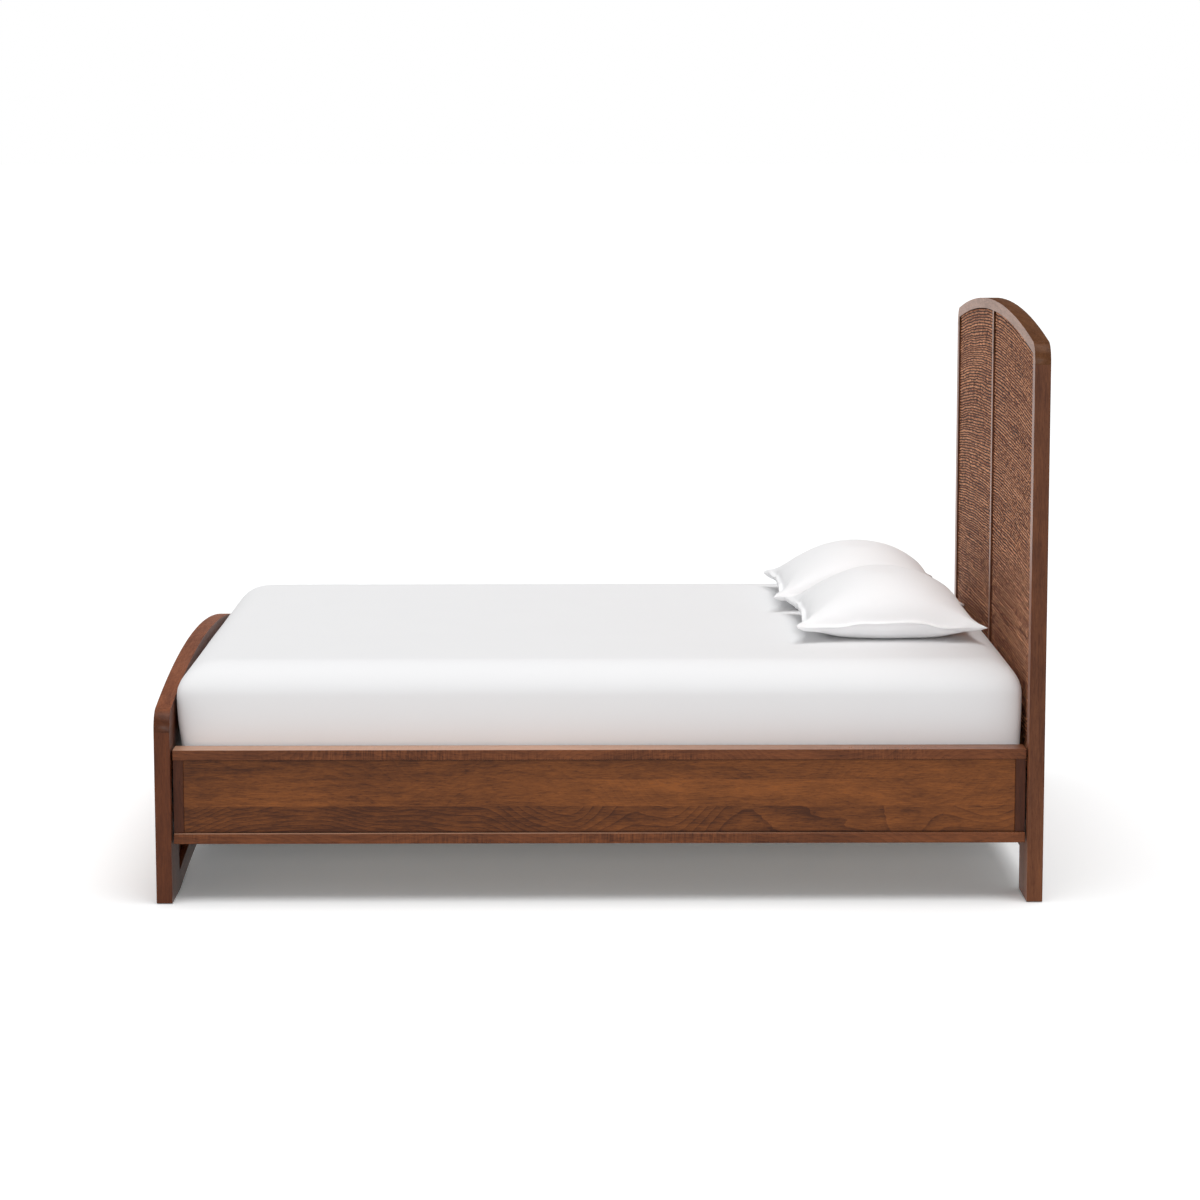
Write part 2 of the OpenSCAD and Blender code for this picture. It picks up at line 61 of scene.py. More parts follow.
MM = 0.001
half_width = cad_box[1][1]                     # outer edges of the posts
head_top = cad_box[1][2]                       # top of the headboard's arch
foot_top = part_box("footboard_top_rail")[1][2]  # top of the footboard's arch
head_rise = 66 * MM                            # rise of the headboard's arch over its shoulders
foot_rise = 76 * MM                            # rise of the footboard's arch
top_band = 27 * MM                             # plain wood over a woven panel
panel_play = 0.5 * MM                          # play of a panel in its rebate
head_mat_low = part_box("headboard_woven_left")[0][2]  # lower edge of the headboard's mats
foot_arch_rise = 48 * MM                       # rise of the footboard's lower edge
foot_half_span = half_width - 150 * MM         # half the span of that edge, between the posts
foot_band = 48 * MM                            # height of the band over that edge
panel_lap = 22 * MM                            # overlap of a panel on the wood under it

timber_edge = 1.6 * MM                         # rounding of sanded edges
fitting_edge = 0.4 * MM                        # rounding of the metal and nylon fittings' edges
grain_depth = 0.4 * MM                         # relief of the timber's grain
fibre_depth = 0.6 * MM                         # relief of the fibre that the cords are twisted from
cotton_depth = 0.8 * MM                        # relief of the cotton's weave
crevice_shade_band = 7 * MM                            # strip along a side panel's edges, by the cap and the base, darkened as painted shade

cord_pitch = 7.6 * MM                          # one woven cord to the next, on average
cord_depth = 2.9 * MM                          # height of a cord over the gap beside it
cord_seat = 2.2 * MM                           # the gaps' bottom behind the face of the CAD mat
cord_steps = 4                                 # steps of the mesh over one cord
stake_pitch = 15 * MM                          # one upright under the cords to the next

# ---- small tools ----


def deselect():
    bpy.ops.object.select_all(action="DESELECT")


def activate(piece):
    deselect()
    piece.select_set(True)
    bpy.context.view_layer.objects.active = piece


def named(name):
    """The object that the last operator added, given its name."""
    piece = bpy.context.object
    piece.name = name
    piece.data.name = name
    return piece


def wobble(x, y, z):
    """Smooth unevenness at a place, about -1 to 1 and the same in every run."""
    return noise.noise(Vector((x, y, z)))


def tint(red, green, blue):
    """A colour given as it looks on a screen, 0 to 255, as the linear values that shaders take."""
    def linear(level):
        level /= 255
        return level / 12.92 if level <= 0.04045 else ((level + 0.055) / 1.055) ** 2.4
    return (linear(red), linear(green), linear(blue), 1.0)


def put(tree, kind, inputs=None, **settings):
    """A node of that kind, with its settings, and its inputs set to values or linked to sockets."""
    node = tree.nodes.new(kind)
    for name, value in settings.items():
        setattr(node, name, value)
    for name, value in (inputs or {}).items():
        if isinstance(value, bpy.types.NodeSocket):
            tree.links.new(value, node.inputs[name])
        else:
            node.inputs[name].default_value = value
    return node


def blend(tree, factor, first, second):
    """The first colour where the factor is 0, the second where it is 1."""
    mix = put(tree, "ShaderNodeMix", {0: factor, 6: first, 7: second}, data_type="RGBA", clamp_factor=True)
    return mix.outputs[2]


def maths(tree, operation, first, second=0.0, clamp=False):
    """One sum on two values or sockets."""
    return put(tree, "ShaderNodeMath", {0: first, 1: second}, operation=operation, use_clamp=clamp).outputs[0]


def equals(tree, value, number):
    """1 where the value is that whole number, 0 elsewhere."""
    return put(tree, "ShaderNodeMath", {0: value, 1: number, 2: 0.1}, operation="COMPARE").outputs[0]


def span(tree, value, low, high, to_low=0.0, to_high=1.0, smooth=False):
    """Maps low..high of a socket to to_low..to_high, clamped."""
    node = put(tree, "ShaderNodeMapRange", {"Value": value, "From Min": low, "From Max": high,
                                            "To Min": to_low, "To Max": to_high},
               interpolation_type="SMOOTHSTEP" if smooth else "LINEAR")
    return node.outputs["Result"]


def stretched(tree, vector, scale):
    """A vector with each axis times its own number."""
    return put(tree, "ShaderNodeVectorMath", {0: vector, 1: scale}, operation="MULTIPLY").outputs[0]


def moved(tree, vector, offset):
    return put(tree, "ShaderNodeVectorMath", {0: vector, 1: offset}, operation="ADD").outputs[0]


def scaled(tree, colour, factor):
    return put(tree, "ShaderNodeVectorMath", {0: colour, "Scale": factor}, operation="SCALE").outputs[0]


def cloud(tree, vector, scale, detail, roughness):
    """Value of a noise texture."""
    return put(tree, "ShaderNodeTexNoise", {"Vector": vector, "Scale": scale, "Detail": detail,
                                            "Roughness": roughness}).outputs["Fac"]


def streaked(tree, vector, scale, detail, roughness):
    """Value of a noise texture with its own scale along each axis."""
    return cloud(tree, stretched(tree, vector, scale), 1.0, detail, roughness)


def new_group(name, inputs, outputs):
    """A shader node group with named sockets: (tree, its input node, its output node)."""
    tree = bpy.data.node_groups.new(name, "ShaderNodeTree")
    for socket, kind, value in inputs:
        made = tree.interface.new_socket(name=socket, in_out="INPUT", socket_type=kind)
        if value is not None:
            made.default_value = value
    for socket, kind in outputs:
        tree.interface.new_socket(name=socket, in_out="OUTPUT", socket_type=kind)
    return tree, tree.nodes.new("NodeGroupInput"), tree.nodes.new("NodeGroupOutput")


def new_material(name):
    """An empty material with a Principled BSDF: (material, tree, shader)."""
    material = bpy.data.materials.new(name)
    material.use_nodes = True
    tree = material.node_tree
    return material, tree, tree.nodes["Principled BSDF"]


# ---- node groups ----


def build_grain():
    """Stained timber whose grain runs along X of the vector that it is given."""
    tree, given, out = new_group("timber_grain", (
        ("Vector", "NodeSocketVector", None),
        ("Pale", "NodeSocketColor", None),
        ("Deep", "NodeSocketColor", None),
        ("Figure", "NodeSocketFloat", 0.5),
        ("Ripple", "NodeSocketFloat", 0.0),
        ("Tone", "NodeSocketFloat", 0.5),
    ), (("Color", "NodeSocketColor"), ("Roughness", "NodeSocketFloat"), ("Height", "NodeSocketFloat")))
    place = given.outputs["Vector"]
    # the log's heart wanders past the sawn face, and its year rings show there as arches and islands
    wander = streaked(tree, place, (2.3, 2.6, 2.6), 1.5, 0.4)
    drift = put(tree, "ShaderNodeCombineXYZ", {"Y": span(tree, wander, 0.2, 0.8, -0.16, 0.16),
                                               "Z": span(tree, wander, 0.2, 0.8, 0.05, -0.05)}).outputs[0]
    bowed = moved(tree, stretched(tree, place, (0.2, 1.0, 1.0)), drift)
    rings = put(tree, "ShaderNodeTexWave", {"Vector": bowed, "Scale": 21.0, "Distortion": 0.9, "Detail": 2.0,
                                            "Detail Scale": 2.5, "Detail Roughness": 0.6},
                wave_type="RINGS", rings_direction="X", wave_profile="SAW").outputs["Fac"]
    # each year goes from pale to deep and ends in a dark line
    spring_to_autumn = span(tree, rings, 0.0, 0.9, 0.30, -0.25)
    year_line = span(tree, rings, 0.80, 0.95, 0.0, 0.35)
    year = maths(tree, "SUBTRACT", spring_to_autumn, year_line)
    broad = streaked(tree, place, (1.6, 9.0, 9.0), 3.0, 0.55)
    streaks = streaked(tree, place, (7.0, 70.0, 70.0), 4.0, 0.60)
    fibre = streaked(tree, place, (30.0, 420.0, 420.0), 3.0, 0.65)
    smudge = streaked(tree, place, (14.0, 26.0, 26.0), 4.0, 0.62)
    pores = streaked(tree, place, (75.0, 900.0, 900.0), 2.0, 0.6)
    # ripples run across the grain, and only in patches
    ripple = span(tree, streaked(tree, place, (290.0, 22.0, 22.0), 2.0, 0.5), 0.3, 0.7, -0.5, 0.5)
    ripple_patch = span(tree, streaked(tree, place, (3.0, 14.0, 14.0), 2.0, 0.5), 0.48, 0.66)
    tone = given.outputs["Tone"]
    for change in (
        span(tree, broad, 0.28, 0.72, -0.20, 0.20),
        span(tree, streaks, 0.25, 0.75, -0.19, 0.19),
        span(tree, fibre, 0.25, 0.75, -0.26, 0.26),
        span(tree, smudge, 0.3, 0.7, -0.13, 0.11),
        maths(tree, "MULTIPLY", year, given.outputs["Figure"]),
        maths(tree, "MULTIPLY", maths(tree, "MULTIPLY", ripple, ripple_patch), given.outputs["Ripple"]),
    ):
        tone = maths(tree, "ADD", tone, change)
    tone = maths(tree, "ADD", tone, span(tree, pores, 0.55, 0.72, 0.0, -0.42), clamp=True)
    tree.links.new(blend(tree, tone, given.outputs["Deep"], given.outputs["Pale"]), out.inputs["Color"])
    tree.links.new(span(tree, tone, 0.0, 1.0, 0.36, 0.26), out.inputs["Roughness"])
    raised = span(tree, streaks, 0.3, 0.7, 0.0, 0.5)
    unpitted = span(tree, pores, 0.5, 0.8, 0.5, 0.0)
    tree.links.new(maths(tree, "ADD", raised, unpitted), out.inputs["Height"])
    return tree


def build_cotton():
    """Cotton's soft unevenness as a faint shade, and with its fine plain weave as a height."""
    tree, given, out = new_group("cotton_surface", (
        ("Vector", "NodeSocketVector", None),
        ("Thread", "NodeSocketFloat", 900.0),
    ), (("Shade", "NodeSocketFloat"), ("Height", "NodeSocketFloat")))
    place = given.outputs["Vector"]
    weave = cloud(tree, place, given.outputs["Thread"], 2.0, 0.6)
    uneven = cloud(tree, place, 7.0, 3.0, 0.5)
    tree.links.new(span(tree, uneven, 0.3, 0.7, 0.975, 1.0), out.inputs["Shade"])
    tree.links.new(maths(tree, "ADD", maths(tree, "MULTIPLY", weave, 0.35), uneven), out.inputs["Height"])
    return tree


grain = build_grain()
cotton = build_cotton()

# ---- materials ----

STAIN_PALE = tint(122, 71, 44)
STAIN_DEEP = tint(74, 38, 23)
# a paler colour painted on tops as a sheen
TOP_SHEEN_COLOUR = tint(222, 178, 150)
CORD_PALE = tint(244, 174, 131)
CORD_DEEP = tint(130, 71, 47)
# painted shade in the gaps between woven cords
CORD_GAP_SHADE = tint(44, 21, 13)
COTTON_SHADED = tint(205, 205, 207)
# the turn that lays the grain along each axis
ALONG = {"X": (0.0, 0.0, 0.0), "Y": (0.0, 0.0, math.pi / 2), "Z": (0.0, math.pi / 2, 0.0)}
EVEN_TONE = 0.5                                # half-way from a timber's deep colour to its pale one
SLANTED, SQUARE = 0.80, 0.98                   # a face begins to look one way, and looks fully that way
BOARD_TONES = (0.24, 0.10)                     # of the middle and upper board over the lowest one
BOARD_SHIFT = (3.7, 0.83, 0.41)                # in the log, in metres, from one board of a panel to the next
PIECE_SHIFT = (1.7, 0.37, 0.53)                # and from one piece to the next


def three_boards(tree, place, spot, joints):
    """The boards of a side panel. joints gives the heights of the panel's lower edge, of its two joints
    and of its upper edge, and spot is the place's three numbers. Returns the place in each board's own
    stretch of log, the board's number from 0 at the bottom, its tone, and how far the painted shade
    along the panel's edges, in the recesses under the cap and over the base, darkens it: 1 is not at all."""
    low, first, second, high = joints
    height = spot.outputs["Z"]
    board = maths(tree, "ADD", maths(tree, "GREATER_THAN", height, first),
                  maths(tree, "GREATER_THAN", height, second))
    shifts = {axis: maths(tree, "MULTIPLY", board, length) for axis, length in zip("XYZ", BOARD_SHIFT)}
    shift = put(tree, "ShaderNodeCombineXYZ", shifts).outputs[0]
    tone = maths(tree, "ADD", maths(tree, "MULTIPLY", equals(tree, board, 1.0), BOARD_TONES[0]),
                 maths(tree, "MULTIPLY", equals(tree, board, 2.0), BOARD_TONES[1]))
    foot_to_head = span(tree, spot.outputs["X"], -1.0, 1.0, EVEN_TONE - 0.25, EVEN_TONE - 0.06)
    # painted shade in the recesses along the panel's lower and upper edges
    crevice_shade = maths(tree, "MINIMUM", span(tree, height, low, low + crevice_shade_band, 0.30, 1.0, smooth=True),
                  span(tree, height, high - crevice_shade_band, high, 1.0, 0.40, smooth=True))
    return moved(tree, place, shift), board, maths(tree, "ADD", tone, foot_to_head), crevice_shade


def timber(name, along, seed, pale, deep, figure=0.25, ripple=0.0, relief=0.2, gloss=0.14, painted_top_light=0.6,
           painted_foot_sheen=0.0, dull=0.0, ends=1.0, painted_top_sheen=0.0, joints=()):
    """Stained and lacquered timber with its grain along one axis; the seed picks the stretch of log.
    Faces that look up are paler by painted_top_light, as painted light, or darker, as painted shade, where
    it is below 0; those that look towards the foot of the bed are paler by painted_foot_sheen, a painted
    sheen. dull roughens faces that look up.
    ends darkens the end grain of a piece that runs across the bed, which soaks up more of the colouring.
    painted_top_sheen blends a paler colour onto tops, as a painted sheen, strongest towards the foot of the
    bed.
    joints makes a panel of three boards, as three_boards says."""
    material, tree, shader = new_material(name)
    surface = put(tree, "ShaderNodeTexCoord")
    facing = put(tree, "ShaderNodeSeparateXYZ", {"Vector": surface.outputs["Normal"]})
    place = surface.outputs["Object"]
    spot = put(tree, "ShaderNodeSeparateXYZ", {"Vector": place})
    tone = EVEN_TONE
    if joints:
        place, board, tone, crevice_shade = three_boards(tree, place, spot, joints)
        lowest = maths(tree, "LESS_THAN", board, 0.5)
        figure = span(tree, lowest, 0.0, 1.0, 0.4 * figure, 1.15 * figure)
    turned = put(tree, "ShaderNodeMapping", {"Vector": place, "Rotation": ALONG[along],
                                             "Location": [seed * step for step in PIECE_SHIFT]}).outputs[0]
    # each piece shows another side of the log, and none is sawn quite along its grain
    tilt = (0.3 * seed, math.radians(1.6), math.radians(1.1))
    tilted = put(tree, "ShaderNodeMapping", {"Vector": turned, "Rotation": tilt}).outputs[0]
    look = put(tree, "ShaderNodeGroup", {"Vector": tilted, "Pale": pale, "Deep": deep, "Figure": figure,
                                         "Ripple": ripple, "Tone": tone}, node_tree=grain)
    bump = put(tree, "ShaderNodeBump", {"Height": look.outputs["Height"], "Strength": relief,
                                        "Distance": grain_depth})
    # painted light on faces that look up, or painted shade where that amount is below 0
    light = span(tree, facing.outputs["Z"], SLANTED, SQUARE, 1.0, 1.0 + painted_top_light, smooth=True)
    if painted_foot_sheen:
        # painted sheen on faces that look towards the foot of the bed
        foot_sheen = span(tree, facing.outputs["X"], -SQUARE, -SLANTED, 1.0 + painted_foot_sheen, 1.0, smooth=True)
        light = maths(tree, "MULTIPLY", light, foot_sheen)
    if ends < 1.0:
        across = maths(tree, "ABSOLUTE", facing.outputs["Y"])
        light = maths(tree, "MULTIPLY", light, span(tree, across, 0.45, 0.90, 1.0, ends, smooth=True))
    if joints:
        # painted shade along a side panel's edges, by the cap and the base
        light = maths(tree, "MULTIPLY", light, crevice_shade)
    # the timber's colour times its painted light and shade, and its darker end grain
    colour = scaled(tree, look.outputs["Color"], light)
    if painted_top_sheen:
        # painted sheen on tops, stronger towards the foot of the bed
        wear_and_sheen = span(tree, facing.outputs["Z"], SLANTED, SQUARE, 0.0, painted_top_sheen, smooth=True)
        towards_foot = span(tree, spot.outputs["X"], -0.1, 0.75, 1.0, 0.12)
        colour = blend(tree, maths(tree, "MULTIPLY", wear_and_sheen, towards_foot), colour, TOP_SHEEN_COLOUR)
    roughness = look.outputs["Roughness"]
    if dull:
        roughened = span(tree, facing.outputs["Z"], SLANTED, SQUARE, 0.0, dull, smooth=True)
        roughness = maths(tree, "ADD", roughness, roughened)
    tree.links.new(colour, shader.inputs["Base Color"])
    tree.links.new(roughness, shader.inputs["Roughness"])
    tree.links.new(bump.outputs["Normal"], shader.inputs["Normal"])
    shader.inputs["Specular IOR Level"].default_value = gloss
    return material


def cotton_cloth(name, colour, thread, relief):
    """White cotton: thread is how fine its weave is, relief how strongly it shows."""
    material, tree, shader = new_material(name)
    place = put(tree, "ShaderNodeTexCoord").outputs["Object"]
    look = put(tree, "ShaderNodeGroup", {"Vector": place, "Thread": thread}, node_tree=cotton)
    bump = put(tree, "ShaderNodeBump", {"Height": look.outputs["Height"], "Strength": relief,
                                        "Distance": cotton_depth})
    tree.links.new(blend(tree, look.outputs["Shade"], COTTON_SHADED, colour), shader.inputs["Base Color"])
    tree.links.new(bump.outputs["Normal"], shader.inputs["Normal"])
    shader.inputs["Roughness"].default_value = 0.85
    shader.inputs["Sheen Weight"].default_value = 0.12
    return material


def woven_fibre(name):
    """Cords of twisted fibre: mesh attributes hold each cord's tone and the painted shade of its gaps."""
    material, tree, shader = new_material(name)
    place = put(tree, "ShaderNodeTexCoord").outputs["Object"]
    tone = put(tree, "ShaderNodeAttribute", attribute_name="cord_tone").outputs["Fac"]
    crest_light = put(tree, "ShaderNodeAttribute", attribute_name="cord_crest_light").outputs["Fac"]
    fibre = streaked(tree, place, (300.0, 90.0, 700.0), 3.0, 0.6)
    fleck = streaked(tree, place, (1.0, 24.0, 260.0), 2.0, 0.5)
    shade = maths(tree, "ADD", tone, span(tree, fibre, 0.3, 0.7, -0.38, 0.38))
    shade = maths(tree, "ADD", shade, span(tree, fleck, 0.3, 0.7, -0.55, 0.55), clamp=True)
    colour = blend(tree, shade, CORD_DEEP, CORD_PALE)
    # painted shade in the gaps between cords, the cord's colour on its crest
    colour = blend(tree, span(tree, crest_light, 0.28, 0.82, smooth=True), CORD_GAP_SHADE, colour)
    bump = put(tree, "ShaderNodeBump", {"Height": fibre, "Strength": 0.3, "Distance": fibre_depth})
    tree.links.new(colour, shader.inputs["Base Color"])
    tree.links.new(bump.outputs["Normal"], shader.inputs["Normal"])
    shader.inputs["Roughness"].default_value = 0.75
    shader.inputs["Specular IOR Level"].default_value = 0.12
    return material


def fitting_finish(name, colour, roughness, metallic):
    """Metal, its coating or nylon, duller in some places than in others."""
    material, tree, shader = new_material(name)
    place = put(tree, "ShaderNodeTexCoord").outputs["Object"]
    wear_and_sheen = streaked(tree, place, (120.0, 120.0, 900.0), 3.0, 0.6)
    tree.links.new(span(tree, wear_and_sheen, 0.3, 0.7, roughness - 0.07, roughness + 0.07), shader.inputs["Roughness"])
    shader.inputs["Base Color"].default_value = colour
    shader.inputs["Metallic"].default_value = metallic
    return material


# ---- CAD nodes: soft edges and their own timber ----

panel_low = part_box("rail_base_right")[1][2]    # lower edge of a side panel, where it leaves the base
panel_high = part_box("rail_cap_right")[0][2]    # upper edge, under the cap
first_joint, second_joint = 0.36, 0.72         # between its three boards, as shares of its height
panel_joints = (panel_low, panel_low + first_joint * (panel_high - panel_low),
                panel_low + second_joint * (panel_high - panel_low), panel_high)

BARE_PINE = {"pale": tint(224, 190, 143), "deep": tint(182, 138, 90), "figure": 0.5, "gloss": 0.3,
             "relief": 0.3}
STAINED_FRAME = {"pale": STAIN_PALE, "deep": STAIN_DEEP, "figure": 0.15}
FOOTBOARD_POST = {"pale": tint(107, 59, 34), "deep": tint(66, 32, 18), "figure": 0.15}
FOOTBOARD_TOP = {"pale": STAIN_PALE, "deep": STAIN_DEEP, "figure": 0.15, "gloss": 0.10, "painted_top_light": 0.45,
                 "dull": 0.35, "ends": 0.66}
HEADBOARD_UPRIGHT = {"pale": tint(122, 76, 50), "deep": tint(77, 43, 28), "figure": 0.2, "gloss": 0.12,
                     "painted_foot_sheen": 1.6}
HEADBOARD_TOP = {"pale": tint(119, 77, 48), "deep": tint(73, 42, 25), "figure": 0.15, "gloss": 0.07,
                 "painted_top_light": -0.2, "painted_foot_sheen": 1.6, "dull": 0.64, "ends": 0.8}
RAIL_EDGE = {"pale": tint(132, 77, 45), "deep": tint(67, 35, 20), "figure": 0.24, "ripple": 0.65,
             "painted_top_light": 0.3, "painted_top_sheen": 0.55}
RAIL_STILE = {"pale": tint(92, 50, 30), "deep": tint(54, 26, 15)}
RAIL_PANEL = {"pale": tint(146, 86, 42), "deep": tint(69, 36, 19), "figure": 0.32, "joints": panel_joints}

# what a wooden node's name starts with: the axis that its grain runs along, and its finish
TIMBERS = {
    "headboard_post": ("Z", HEADBOARD_UPRIGHT),
    "headboard_centre": ("Z", HEADBOARD_UPRIGHT),
    "headboard_top": ("Y", HEADBOARD_TOP),
    "headboard_bottom": ("Y", STAINED_FRAME),
    "headboard_backing": ("Z", STAINED_FRAME),
    "footboard_post": ("Z", FOOTBOARD_POST),
    "footboard_centre": ("Z", STAINED_FRAME),
    "footboard_top": ("Y", FOOTBOARD_TOP),
    "footboard_bottom": ("Y", STAINED_FRAME),
    "footboard_backing": ("Y", STAINED_FRAME),
    "rail_cap": ("X", RAIL_EDGE),
    "rail_base": ("X", RAIL_EDGE),
    "rail_panel": ("X", RAIL_PANEL),
    "rail_stile": ("Z", RAIL_STILE),
    "cleat": ("X", BARE_PINE),
    "centre_beam": ("X", BARE_PINE),
    "centre_leg": ("Z", BARE_PINE),
    "slat": ("Y", BARE_PINE),
}


def dress(piece, look, rounding):
    """Gives a CAD node its material, and rounds its edges a little, as sanding does."""
    piece.data.materials.clear()
    piece.data.materials.append(look)
    weld = piece.modifiers.new("weld", "WELD")
    weld.merge_threshold = 0.01 * MM
    bevel = piece.modifiers.new("edges", "BEVEL")
    bevel.width = rounding
    bevel.segments = 3
    bevel.limit_method = "ANGLE"
    bevel.angle_limit = math.radians(32)
    bevel.harden_normals = True


def dress_timber():
    for seed, name in enumerate(sorted(nodes), start=1):
        for start, (along, finish) in TIMBERS.items():
            if name.startswith(start):
                dress(nodes[name], timber(name + "_wood", along, seed, **finish), timber_edge)


def dress_fittings():
    looks = {
        "beam_saddles": fitting_finish("black_powder_coat", tint(38, 38, 38), 0.45, metallic=0.0),
        "rail_hook_plates": fitting_finish("black_zinc_hooks", tint(34, 33, 32), 0.55, metallic=0.6),
        "post_catch_plates": fitting_finish("black_zinc_catches", tint(36, 35, 34), 0.55, metallic=0.6),
        "post_glides": fitting_finish("nylon", tint(40, 40, 40), 0.6, metallic=0.0),
    }
    steel = fitting_finish("zinc_leveller", tint(198, 198, 196), 0.33, metallic=1.0)
    for name in nodes:
        if name.startswith("leveller"):
            looks[name] = steel
    for name, look in looks.items():
        dress(nodes[name], look, fitting_edge)


# ---- woven panels ----


def arch_drop(distance, rise):
    """How far an arch of the boards' full width lies below its top at a distance from the middle."""
    radius = (half_width ** 2 + rise ** 2) / (2 * rise)
    return radius - math.sqrt(radius ** 2 - distance ** 2)


def cord_edges(rows, seed):
    """Heights, 0 to 1, at which the cords of a mat meet: no two are quite as thick."""
    widths = []
    for row in range(rows):
        widths.append(1 + 0.45 * wobble(row * 0.83, seed, 0.5) + 0.25 * wobble(row * 2.7, 4, seed))
    total = sum(widths)
    edges = [0.0]
    for width in widths:
        edges.append(edges[-1] + width / total)
    return edges


def close_back(piece, back):
    """Gives an open mat its four sides and a flat back at that X, with all faces outwards."""
    bpy.ops.object.mode_set(mode="EDIT")
    bpy.ops.mesh.select_mode(type="EDGE")
    bpy.ops.mesh.select_all(action="DESELECT")
    bpy.ops.mesh.select_non_manifold()
    bpy.ops.mesh.extrude_region()
    bpy.ops.object.mode_set(mode="OBJECT")
    for vertex in piece.data.vertices:
        if vertex.select:
            vertex.co.x = back
    bpy.ops.object.mode_set(mode="EDIT")
    bpy.ops.mesh.edge_face_add()
    bpy.ops.mesh.select_all(action="SELECT")
    bpy.ops.mesh.normals_make_consistent(inside=False)
    bpy.ops.object.mode_set(mode="OBJECT")


def woven_panel(node, peak, rise, low_edge):
    """A mat of cords woven over hidden uprights. It fills the CAD mat's outline: its top follows
    the board's arch, and low_edge gives its lower edge at a distance from the bed's middle line.
    Its cords stand a little proud of the CAD mat's face."""
    low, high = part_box(node)
    width = high[1] - low[1]
    rows = round((high[2] - low[2]) / cord_pitch)
    columns = round(width / (stake_pitch / 2))
    seed = low[2] + 3.0 * low[1]
    edges = cord_edges(rows, seed)
    bpy.ops.mesh.primitive_grid_add(x_subdivisions=columns, y_subdivisions=rows * cord_steps, size=1.0)
    piece = named(node.replace("woven", "weave"))
    mesh = piece.data
    tones = mesh.attributes.new("cord_tone", "FLOAT", "POINT")
    crest_light_values = mesh.attributes.new("cord_crest_light", "FLOAT", "POINT")
    for vertex in mesh.vertices:
        y = low[1] + (vertex.co.x + 0.5) * width
        step = round((vertex.co.y + 0.5) * rows * cord_steps)
        row = min(step // cord_steps, rows - 1)
        phase = step / cord_steps - row          # 0 to 1 over one cord
        up = edges[row] + phase * (edges[row + 1] - edges[row])
        bottom = low_edge(abs(y))
        top = peak - top_band - panel_play - arch_drop(abs(y), rise)
        z = bottom + up * (top - bottom)
        if 0 < step < rows * cord_steps:         # the cords sag and rise, the mat's edges don't
            slack = wobble(y * 4.5, up * 11.0, seed)
            z += (5.0 * slack + 2.2 * wobble(y * 15.0, up * 34.0, seed)) * MM
        crown = math.sin(math.pi * phase) ** 0.6 if 0 < phase < 1 else 0.0
        knots = max(0.0, min(1.0, 0.5 + 1.6 * wobble(y * 5.0, row * 0.16, seed + 2.0)))
        over = math.cos(math.pi * (y / stake_pitch + row)) * (0.25 + 0.75 * knots)
        fray = wobble(y * 31.0, row * 1.7, seed + 5.0) * (0.6 + 1.1 * knots)
        strand = wobble(row * 3.1, y * 2.2, seed + 9.0)
        lift = cord_depth * crown * (0.74 + 0.22 * over + 0.24 * fray)
        vertex.co = Vector((low[0] + cord_seat - lift, y, z))
        # painted light on a cord's crest and painted shade in the gap beside it
        crest_light_values.data[vertex.index].value = max(0.0, min(1.0, crown * (0.84 + 0.25 * over + 0.22 * fray)))
        # each strand's own tone at random, made paler as painted light where a cord rides over an upright
        tones.data[vertex.index].value = 0.5 + 0.45 * strand + 0.10 * over + 0.20 * fray
    close_back(piece, high[0])
    mesh.shade_smooth()
    mesh.materials.append(weave_look)
    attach(piece, "frame")
    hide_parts(node)


def head_low_edge(_):
    """The headboard's mats end straight, at any distance from the middle."""
    return head_mat_low


def foot_low_edge(distance):
    """The footboard's mats end behind the arched band."""
    radius = (foot_half_span ** 2 + foot_arch_rise ** 2) / (2 * foot_arch_rise)
    outer = radius + foot_band - panel_lap + panel_play
    return foot_arch_rise - radius + math.sqrt(max(outer ** 2 - distance ** 2, 0.0))


weave_look = woven_fibre("woven_fibre")

# ---- mattress ----


def gathered(value):
    """Moves evenly spaced places between -1 and 1 towards the ends, where a soft edge needs them."""
    return math.sin(value * 1.46) / math.sin(1.46)


